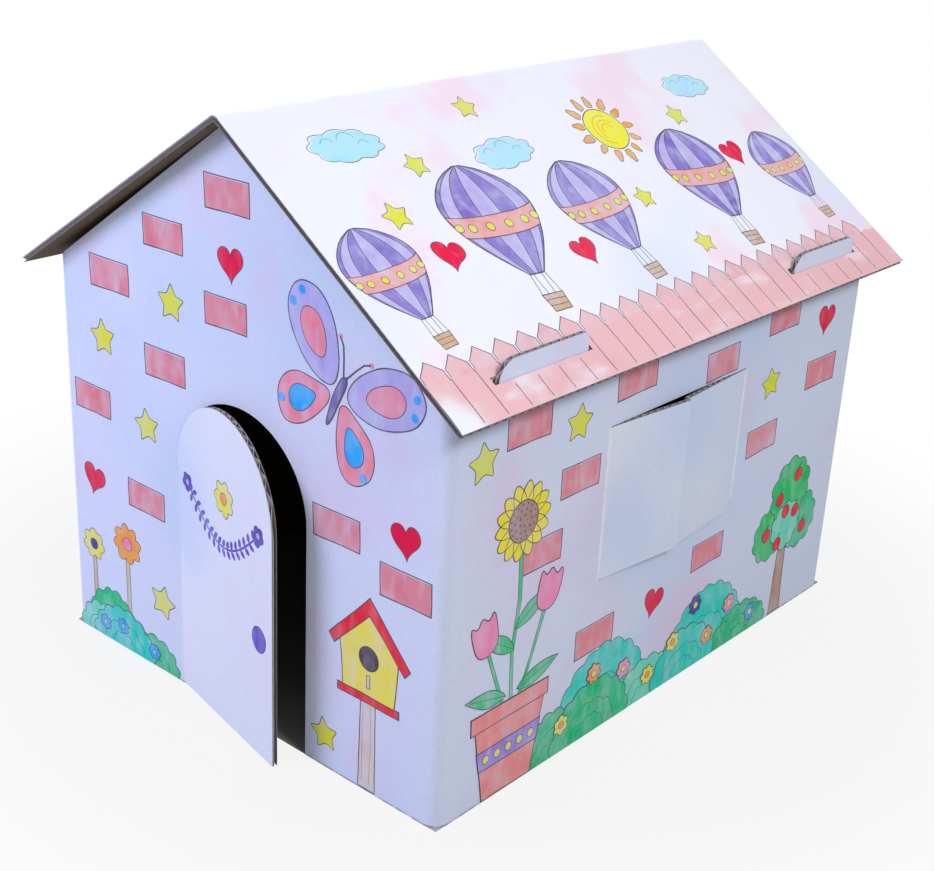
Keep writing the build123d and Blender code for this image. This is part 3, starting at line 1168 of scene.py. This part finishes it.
bush(
    drawing,
    (
        (180, 118, 70, 11, bush_teal),
        (318, 112, 66, 11, bush_teal),
        (238, 84, 34, 8, bush_light),
        (122, 66, 38, 8, bush_green),
        (372, 80, 30, 8, bush_green),
        (168, 92, 44, 9, bush_green),
        (290, 84, 40, 8, bush_teal),
    ),
    level=3,
)
side_flowers = (
    (132, 24, flower_yellow),
    (168, 52, flower_orange),
    (206, 40, flower_pink),
    (240, 20, flower_yellow),
    (272, 36, flower_yellow),
    (300, 58, flower_navy),
    (322, 22, flower_orange),
    (352, 40, flower_pink),
    (388, 18, flower_blue),
)
for number, (x, y, colour) in enumerate(side_flowers):
    eye = flower_orange if colour == flower_yellow else flower_yellow
    flower(drawing, x, y, 8, 6 + number % 2, colour, eye, level=18, seed=number)
drawn_piece("side_bushes", drawing, side_panel)

# A butterfly flies at the right over the doorway, in lavender, pink and bright blue.
# Each of its wings holds a patch of another colour, and blue dots line their tips.
wing_lavender = tone(190, 180, 238, 0.0)
wing_pink = tone(248, 146, 166, 0.15)
wing_blue = tone(18, 178, 252, 0.35)
body_violet = tone(120, 104, 170, 0.3)
butterfly_place = (100, 284)
butterfly_turn = -24
upper_wing = [(3, 6), (12, 34), (38, 58), (64, 52), (66, 30), (48, 10), (22, 0)]
lower_wing = [(3, 2), (24, -2), (44, -10), (50, -30), (36, -48), (20, -42), (8, -20)]
butterfly_body = [(-3.4, 14), (0, 19), (3.4, 14), (2.8, -12), (0, -26), (-2.8, -12)]
drawing = new_drawing()


def on_butterfly(outline, flip=1, inset=1.0, seed=0):
    """An outline of the butterfly, mirrored if asked, at its place on the wall."""
    x, y = butterfly_place
    middle_x, middle_y = [sum(values) / len(outline) for values in zip(*outline)]
    points = []
    for px, py in outline:
        points.append((flip * (middle_x + (px - middle_x) * inset), middle_y + (py - middle_y) * inset))
    return by_hand(placed(rounded(points, 3), x, y, turn=butterfly_turn), 0.9, 0.05, seed)


wings = ((lower_wing, wing_pink, wing_blue), (upper_wing, wing_lavender, wing_pink))
for flip in (1, -1):
    for number, (wing, colour, patch) in enumerate(wings):
        level = 1 + 4 * number
        paint(drawing, on_butterfly(wing, flip, 0.985, number + 3), colour, level)
        ink(drawing, on_butterfly(wing, flip, 1.0, number), level + 1)
        painted(drawing, on_butterfly(wing, flip, 0.5, number + 5), patch, level + 2, 0.5)
    for px, py in ((56, 46), (60, 34), (42, -34)):
        paint(drawing, on_butterfly(placed(circle(3.2, 12), px, py), flip), wing_blue, 8)
    feeler = [(1.2, 17), (6, 28), (10, 36), (15, 40)]
    x, y = butterfly_place
    feeler = placed([(flip * px, py) for px, py in feeler], x, y, turn=butterfly_turn)
    ink(drawing, feeler, 9, width=0.9, closed=False)
    paint(drawing, placed(circle(1.8, 10), *feeler[-1]), wing_pink, 9)
painted(drawing, on_butterfly(butterfly_body), body_violet, 10)
drawn_piece("butterfly", drawing, front_panel)

# A nesting box with a red roof stands on a beige post at the right of the door.
# Its yellow front and red roof are laid on thicker than the washes round it.
post_beige = tone(230, 212, 206, 0.1)
post_grain = tone(170, 150, 150)
box_yellow = tone(250, 234, 74, 0.35)
box_red = tone(244, 30, 56, 0.7)
hole_brown = tone(76, 60, 70, 0.5)
nest_x = 134
nest_floor = 74
nest_post = [(-8, 1.4), (8, 1.4), (7, nest_floor), (-7, nest_floor)]
nest_front = [(-24, nest_floor), (24, nest_floor), (28, 118), (0, 146), (-28, 118)]
nest_roof = [(-38, 112), (-33, 106), (0, 139), (33, 106), (38, 112), (0, 152)]


def ruled(corners, x, steps, amount=0.8):
    """A straight-sided outline as a hand draws it, moved along the wall."""
    return by_hand(divided(placed(corners, x), steps), amount)


drawing = new_drawing()
painted(drawing, ruled(nest_post, nest_x, 6, 0.7), post_beige, 1)
painted(drawing, ruled(nest_front, nest_x, 5), box_yellow, 3)
painted(drawing, ruled(nest_roof, nest_x, 5), box_red, 5)
for share in (-0.35, 0.2):
    grain_line = [(nest_x + 14 * share, 6 + 9 * step) for step in range(8)]
    ink(drawing, by_hand(grain_line, 1.4, 0.06, share), 2, 0.4, False, post_grain)
painted(drawing, placed(circle(9, 26), nest_x, 106), hole_brown, 5)
painted(drawing, placed(box_outline(3, 10, 2), nest_x, 88), post_beige, 5, 0.5)
painted(drawing, by_hand(placed(box_outline(58, 6, 6), nest_x, nest_floor), 0.6), box_red, 5)
drawn_piece("nesting_box", drawing, front_panel)

# A tall pot of flowers stands at the front of the side wall: a salmon pot with a purple band,
# one big sunflower over pink tulips and long leaves.
pot_salmon = tone(248, 150, 146, 0.15)
pot_purple = tone(164, 136, 226, 0.15)
leaf_green = tone(70, 200, 134, 0.1)
sun_petal = tone(250, 234, 44, 0.4)
sun_brown = tone(172, 130, 110, 0.2)
seed_brown = tone(96, 66, 58, 0.4)
pot_x = 72
sunflower_place = (pot_x + 1, 208)
drawing = new_drawing()


def leaf(drawing, x, y, length, width, turn, colour, level):
    """A pointed leaf from its foot, with a midrib."""
    shares = [step / 12 for step in range(13)]
    half = [(length * share, width / 2 * math.sin(math.pi * share**0.8)) for share in shares]
    outline = placed(half + [(px, -py) for px, py in half[-2:0:-1]], x, y, turn=turn)
    painted(drawing, by_hand(outline, 0.6, 0.06, turn), colour, level, 0.55)
    midrib = placed([(length * share, 0) for share in (0, 0.3, 0.6, 0.88)], x, y, turn=turn)
    ink(drawing, midrib, level + 1, 0.4, False)


def stalk(drawing, points, width, colour, level):
    """A stem along a few points, painted between two pen lines."""
    ink(drawing, points, level, width + 0.9, False)
    ink(drawing, points, level + 1, width, False, colour)


stalk(drawing, [(pot_x, 70), (pot_x - 2, 110), (pot_x + 3, 150), (pot_x + 1, 200)], 3.4, leaf_green, 3)
stalk(drawing, [(pot_x - 8, 70), (pot_x - 18, 96), (pot_x - 28, 122)], 2.8, leaf_green, 3)
stalk(drawing, [(pot_x + 8, 70), (pot_x + 20, 100), (pot_x + 32, 134)], 2.8, leaf_green, 3)
for x, y, length, turn in ((0, 112, 40, 148), (0, 128, 42, 30), (-6, 78, 44, 165), (6, 78, 46, 12)):
    leaf(drawing, pot_x + x, y, length, 13, turn, leaf_green, 5)
tulip = [(-11, 0), (-13, 16), (-12, 28), (-6, 21), (0, 29), (6, 21), (12, 28), (13, 16), (11, 0), (0, -5)]
for x, y, turn in ((pot_x - 28, 122, 14), (pot_x + 32, 134, -12)):
    painted(drawing, by_hand(placed(rounded(tulip, 2), x, y, turn=turn), 0.6, 0.06, x), flower_pink, 7)
petal = [(7, -5), (20, -7), (31, 0), (20, 7), (7, 5)]
for step in range(14):
    outline = by_hand(placed(rounded(petal, 2), *sunflower_place, turn=360 * step / 14 + 4), 0.7, 0.08, step)
    paint(drawing, outline, sun_petal, 7 + step % 2)
    ink(drawing, outline, 9, 0.55)
painted(drawing, by_hand(placed(circle(15, 30), *sunflower_place), 0.7, 0.08), sun_brown, 10)
for ring_radius, seeds in ((4, 5), (8.5, 10), (12.4, 15)):
    for x, y in placed(circle(ring_radius, seeds), *sunflower_place):
        paint(drawing, placed(circle(0.9, 8), x, y), seed_brown, 12)
painted(drawing, ruled([(-26, 1.5), (26, 1.5), (37, 62), (-37, 62)], pot_x, 7), pot_salmon, 12)
painted(drawing, ruled([(-31, 27), (31, 27), (34, 43), (-34, 43)], pot_x, 7), pot_purple, 14)
painted(drawing, by_hand(placed(box_outline(82, 13, 7), pot_x, 67), 0.8), pot_salmon, 14)
for step in range(5):
    painted(drawing, placed(circle(3.4, 14), pot_x - 24 + 12 * step, 35), flower_yellow, 16, 0.45)
drawn_piece("flower_pot", drawing, side_panel)

# A small apple tree closes the row at the back of the side wall.
# Four scalloped puffs of green make its crown, with red apples on them.
apple_red = tone(240, 36, 52, 0.7)
crown_green = tone(30, 200, 104, 0.3)
trunk_brown = tone(190, 152, 128, 0.15)
tree_x = 430
drawing = new_drawing()
painted(drawing, ruled([(-8, 1.5), (9, 1.5), (6, 70), (-6, 70)], tree_x, 6), trunk_brown, 1)
for x, y, radius, colour, level in (
    (-24, 84, 25, crown_green, 3),
    (24, 82, 26, bush_green, 5),
    (2, 116, 30, crown_green, 7),
    (0, 84, 22, bush_light, 9),
):
    puff = by_hand(placed(flower_outline(radius, 10, 0.1), tree_x + x, y), 1.0, 0.05, level)
    painted(drawing, puff, colour, level, 0.6)
for x, y in ((-30, 84), (-10, 70), (14, 94), (30, 74), (-14, 112), (12, 128), (-2, 98)):
    apple = by_hand(placed(circle(6, 18), tree_x + x, y), 0.5, 0.1, x)
    painted(drawing, apple, apple_red, 11, 0.5)
    ink(drawing, [(tree_x + x, y + 5), (tree_x + x + 1, y + 8), (tree_x + x + 3, y + 9.5)], 12, 0.8, False)
drawn_piece("apple_tree", drawing, side_panel)

# Striped balloons float over a picket fence that runs along the right eave of the roof.
# Each balloon has purple gores, a salmon belt and a small basket on lines, drawn and washed as the rest.
balloon_purple = tone(138, 118, 204, 0.1)
balloon_lavender = tone(192, 182, 234, 0.0)
belt_salmon = tone(240, 168, 164, 0.1)
basket_tan = tone(212, 174, 136, 0.1)
fence_pink = tone(*eave_pink, 0.4)
fence_top = 40
picket = 22
balloons = ((41, 57, 4, 0.92), (152, 57, -3, 1.2), (264, 57, 3, 1.05), (394, 57, -4, 1.1), (510, 60, 3, 0.88))
gores = 7
envelope_radius = 36
envelope_foot = 27
envelope_height = 84
neck_share = 0.07
belt_shares = (0.44, 0.62)
envelope_shares = [neck_share + (0.995 - neck_share) * step / 22 for step in range(23)]


def envelope_point(share, angle):
    """A point of the balloon's envelope at a share of its height, round to an angle from its middle line."""
    half = envelope_radius * math.sin(math.pi * share**1.45) ** 0.65
    rise = envelope_foot + envelope_height * (share - neck_share) / (1 - neck_share)
    return half * math.sin(angle), rise - 0.13 * half * math.cos(angle)


def envelope_strip(first, second, shares):
    """The part of the envelope between two angles, over some shares of its height."""
    rising = [envelope_point(share, first) for share in shares]
    return rising + [envelope_point(share, second) for share in shares[::-1]]


drawing = new_drawing()
seams = [math.pi * (step / gores - 0.5) for step in range(gores + 1)]
for number, (first, second) in enumerate(zip(seams, seams[1:])):
    gore = envelope_strip(first, second, envelope_shares)
    paint(drawing, by_hand(gore, 0.5, 0.08, number), balloon_lavender if number % 2 else balloon_purple, 1)
    ink(drawing, [envelope_point(share, second) for share in envelope_shares], 2, 0.5, False)
rim = envelope_strip(seams[0], seams[-1], envelope_shares)
ink(drawing, by_hand(rim, 0.4, 0.06), 2, 0.7)
lower_angles = [angle for seam in zip(seams, seams[1:]) for angle in (seam[0], sum(seam) / 2)] + seams[-1:]
upper_angles = [seams[-1] - (seams[-1] - seams[0]) * step / (2 * gores) for step in range(2 * gores + 1)]
belt = [envelope_point(belt_shares[0], angle) for angle in lower_angles]
belt += [envelope_point(belt_shares[1], angle) for angle in upper_angles]
paint(drawing, by_hand(belt, 0.6, 0.08), belt_salmon, 3)
ink(drawing, by_hand(belt, 0.4, 0.08), 4, 0.55)
for angle in seams[1:-1]:
    dot = placed(circle(3, 14), *envelope_point(sum(belt_shares) / 2, angle))
    painted(drawing, dot, star_yellow, 5, 0.4)
basket = by_hand(divided([(-7, 0), (7, 0), (8.6, 12), (-8.6, 12)], 4), 0.4, 0.1)
painted(drawing, basket, basket_tan, 1, 0.6)
for rise in (4, 8):
    weave = [(x, rise) for x in (-7.6, -2.5, 2.5, 7.6)]
    ink(drawing, by_hand(weave, 0.5, 0.1, rise), 2, 0.4, False)
for side in (-1, -0.35, 0.35, 1):
    neck = envelope_point(neck_share, side * math.pi / 2)
    ink(drawing, [(side * 8, 12), ((side * 8 + neck[0]) / 2, 12 + (neck[1] - 12) / 2), neck], 2, 0.45, False)
repeated_piece("balloons", drawing, balloons, roof_panel, 1, 0.02, 17)
drawing = new_drawing()
tip = [(-picket / 2 + 1, -4), (picket / 2 - 1, -4), (picket / 2 - 1, 4), (0, 13), (-picket / 2 + 1, 4)]
paint(drawing, by_hand(divided(tip, 4), 0.6, 0.08), fence_pink, 1)
ink(drawing, by_hand(divided(tip, 4), 0.4, 0.08)[4:], 2, 0.6, False)
picket_count = int(roof_length / mm / picket)
picket_places = [(picket * (step + 0.5), fence_top) for step in range(picket_count)]
repeated_piece("fence_tips", drawing, picket_places, roof_panel, 0.8, 0.02, 19)
drawing = new_drawing()
low, high = [stop / mm for stop in slot_stops]
for step in range(picket_count + 1):
    x = picket * step
    for start, end in ((2, low - 3), (high + 3, fence_top - 3)) if in_slot(x * mm) else ((2, fence_top - 3),):
        line = [(x, start + (end - start) * share) for share in (0, 0.33, 0.66, 1)]
        ink(drawing, by_hand(line, 0.6, 0.08, step), 2, 0.55, False)
drawn_piece("fence_lines", drawing, roof_panel, "house")

# A sun and three clouds hang in the sky of the roof, over the balloons.
# The sun's rays stand loose round its disc, each turned a little its own way.
sun_yellow = tone(246, 242, 42, 0.6)
ray_orange = tone(240, 176, 70, 0.2)
sway_orange = tone(236, 178, 40)
cloud_blue = tone(176, 236, 254, 0.1)
curl_blue = tone(90, 150, 190)
sun_place = (336, 192)
sun_radius = 21
drawing = new_drawing()
painted(drawing, by_hand(circle(sun_radius, 40), 0.8, 0.06), sun_yellow, 1)
for step in range(3):
    sway = by_hand(placed(circle(sun_radius * (0.3 + 0.2 * step), 22), 2, -1), 1.4, 0.08, step)
    ink(drawing, sway[2 * step:2 * step + 13], 2, 0.7, False, sway_orange)
sun_panel = roof_panel @ Matrix.Translation((sun_place[0] * mm, sun_place[1] * mm, 0))
drawn_piece("sun_disc", drawing, sun_panel, "house")
drawing = new_drawing()
ray = rounded([(-5, 0), (5, 0), (0.6, 15)], 1)
painted(drawing, ray, ray_orange, 1, 0.5)
rays = []
for step in range(13):
    angle = math.tau * step / 13
    reach = sun_radius + 2
    turn = math.degrees(angle) - 90
    rays.append((sun_place[0] + reach * math.cos(angle), sun_place[1] + reach * math.sin(angle), turn, 1.0))
repeated_piece("sun_rays", drawing, rays, roof_panel, 5, 0.14, 23)


def cloud_outline(width, height, bumps):
    """A cloud with a puffed rim all round."""
    outline = []
    for step in range(12 * bumps):
        angle = math.tau * step / (12 * bumps)
        puff = 1 + 0.16 * abs(math.sin(bumps * angle / 2 + 0.3 * math.sin(angle)))
        outline.append((width / 2 * puff * math.cos(angle), height / 2 * puff * math.sin(angle)))
    return outline


drawing = new_drawing()
cloud = by_hand(cloud_outline(58, 27, 9), 1.6, 0.05)
paint(drawing, placed(cloud, 0.6, -0.4, 0.96), cloud_blue, 1)
ink(drawing, cloud, 2, 0.5)
for x, y, radius in ((-14, 2, 6), (4, 4, 8), (17, -1, 5)):
    curl = by_hand(placed(circle(radius, 18), x, y), 0.8, 0.08, x)
    ink(drawing, curl[1:9], 2, 0.45, False, curl_blue)
clouds = [(81, 222, -4, 1.0), (213, 190, 3, 0.92), (472, 218, -6, 0.85)]
repeated_piece("clouds", drawing, clouds, roof_panel, 2, 0.03, 29)

# The door carries a garland of purple leaves, a small yellow flower over it and an oval purple knob,
# all painted on the flap.
garland_purple = tone(100, 84, 190, 0.5)
knob_purple = tone(104, 92, 196, 0.5)
knob_line = tone(70, 60, 140)
garland_start = 16
garland_span = 102
garland_top = 176
garland_sag = 30
garland_steps = 16
garland_leaf = [(0, 0), (4, 2.6), (9, 0), (4, -2.6)]
start, way, facing = door_plane
door_panel = Matrix.Translation(start) @ Matrix(
    ((way.x, 0, facing.x, 0), (way.y, 0, facing.y, 0), (0, 1, 0, 0), (0, 0, 0, 1))
)
drawing = new_drawing()
garland = []
for share in [step / garland_steps for step in range(garland_steps + 1)]:
    hanging = garland_sag * math.sin(math.pi * share)
    garland.append((garland_start + garland_span * share, garland_top - hanging))
ink(drawing, garland, 1, 1.6, False, garland_purple)
for number, (x, y) in enumerate(garland[1:-1]):
    slope = -garland_sag * math.pi / garland_span * math.cos(math.pi * (number + 1) / garland_steps)
    for side in (-1, 1):
        turn = math.degrees(math.atan2(slope, 1)) + side * 62
        outline = by_hand(placed(rounded(garland_leaf, 2), x, y, turn=turn), 0.4, 0.1, number)
        paint(drawing, outline, garland_purple, 2)
flower(drawing, 70, 184, 13, 7, flower_yellow, flower_orange, level=2, seed=3)
for x, y in garland[::garland_steps]:
    flower(drawing, x, y, 7, 5, garland_purple, balloon_lavender, level=3, seed=1)
knob = by_hand(placed(circle(9.5, 30, 1.05), 118, 96), 0.5, 0.1)
paint(drawing, knob, knob_purple, 1)
ink(drawing, knob, 2, 0.5, True, knob_line)
drawn_piece("door_paint", drawing, door_panel, "door")

# The floor is a pale sheet that takes the house's shadow, under an even sky and three broad soft lamps:
# one overhead, one from the right that shades the wall under the eave, and a strong cool one that stands high
# at the front left and shades the gable under the roof's overhang.
sky_level = 0.46
sky_colour = (0.93, 0.96, 1.0)
floor_grey = 0.36
floor_reach = 6
floor_drop = 0.1 * mm
floor_whitening = (0.3, 0.65, 0.87, 1.0)
lamp_aim = Vector((0, 0, 0.22))
lamps = (
    ("lamp_overhead", (0.3, -0.05, 2.0), 1.3, 4.4, (1, 1, 1)),
    ("lamp_right", (1.45, -0.4, 1.4), 0.5, 12.6, (1, 1, 1)),
    ("lamp_front", (-0.9, -1.5, 1.25), 0.9, 26.0, (0.68, 0.71, 1)),
)
floor_mesh = bpy.data.meshes.new("floor")
square = ((-1, -1), (1, -1), (1, 1), (-1, 1))
floor_corners = [(x * floor_reach, y * floor_reach, -floor_drop) for x, y in square]
floor_mesh.from_pydata(floor_corners, [], [(0, 1, 2, 3)])
floor = linked("floor", floor_mesh)


def seen_directly(tree):
    """1 for the camera's rays and for what gloss and glass show, 0 for light on the object."""
    rays = add(tree, "ShaderNodeLightPath").outputs
    direct = sums(tree, "MAXIMUM", rays["Is Camera Ray"], rays["Is Glossy Ray"])
    return sums(tree, "MAXIMUM", direct, rays["Is Transmission Ray"])


floor_material, tree, shader = new_material("floor_sheet", 0.9)
shader.inputs["Base Color"].default_value = (floor_grey, floor_grey, floor_grey, 1)
spot = add(tree, "ShaderNodeTexCoord").outputs["Object"]
away = add(tree, "ShaderNodeVectorMath", {0: spot}, operation="LENGTH").outputs["Value"]
parts = add(tree, "ShaderNodeSeparateXYZ", {0: spot}).outputs
indoors = sums(
    tree,
    "MULTIPLY",
    sums(tree, "COMPARE", parts[0], 0.0, right_face - liner),
    sums(tree, "COMPARE", parts[1], 0.0, back_face - liner),
)
whitened = sums(tree, "MULTIPLY", seen_directly(tree), graded(tree, away, *floor_whitening))
whitened = sums(tree, "MULTIPLY", whitened, sums(tree, "SUBTRACT", 1.0, indoors))
glow = add(tree, "ShaderNodeEmission", {"Color": (1, 1, 1, 1), "Strength": 1.0}).outputs[0]
mix = add(tree, "ShaderNodeMixShader", {0: whitened, 1: shader.outputs[0], 2: glow})
tree.links.new(mix.outputs[0], tree.nodes["Material Output"].inputs["Surface"])
floor_mesh.materials.append(floor_material)
floor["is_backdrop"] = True

world = bpy.data.worlds.new("sky")
bpy.context.scene.world = world
world.use_nodes = True
tree = world.node_tree
sky = tree.nodes["Background"]
sky.inputs["Color"].default_value = (*sky_colour, 1)
sky.inputs["Strength"].default_value = sky_level
white = add(tree, "ShaderNodeBackground", {"Color": (1, 1, 1, 1), "Strength": 1.0}).outputs[0]
mix = add(tree, "ShaderNodeMixShader", {0: seen_directly(tree), 1: sky.outputs[0], 2: white})
tree.links.new(mix.outputs[0], tree.nodes["World Output"].inputs["Surface"])

for name, place, size, power, colour in lamps:
    lamp = bpy.data.lights.new(name, "AREA")
    lamp.shape = "DISK"
    lamp.size = size
    lamp.energy = power
    lamp.color = colour
    lamp_object = linked(name, lamp)
    lamp_object.location = place
    lamp_object.rotation_euler = (lamp_aim - Vector(place)).to_track_quat("-Z", "Y").to_euler()

# The camera looks down on the corner between the door wall and the window wall, from the right.
# Its place, roll and lens were solved from the outline of the house in the photograph.
view_side = math.radians(40.378)
view_height = math.radians(22.917)
view_roll = math.radians(2.832)
view_distance = 1253.172 * mm
view_shift = (-9.32 * mm, -88.918 * mm)
view_middle = Vector((0, 0, 250 * mm))
focal_length = 60.456
back = Vector(
    (
        math.sin(view_side) * math.cos(view_height),
        -math.cos(view_side) * math.cos(view_height),
        math.sin(view_height),
    )
)
attitude = (-back).to_track_quat("-Z", "Y").to_matrix().to_4x4() @ Matrix.Rotation(view_roll, 4, "Z")
camera_data = bpy.data.cameras.new("camera")
camera_data.sensor_width = 36
camera_data.lens = focal_length
camera = linked("camera", camera_data)
across = attitude.col[0].to_3d() * view_shift[0] + attitude.col[1].to_3d() * view_shift[1]
camera.matrix_world = Matrix.Translation(view_middle + across + back * view_distance) @ attitude
bpy.context.scene.camera = camera
bpy.context.scene.view_settings.view_transform = "Standard"

low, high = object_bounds()
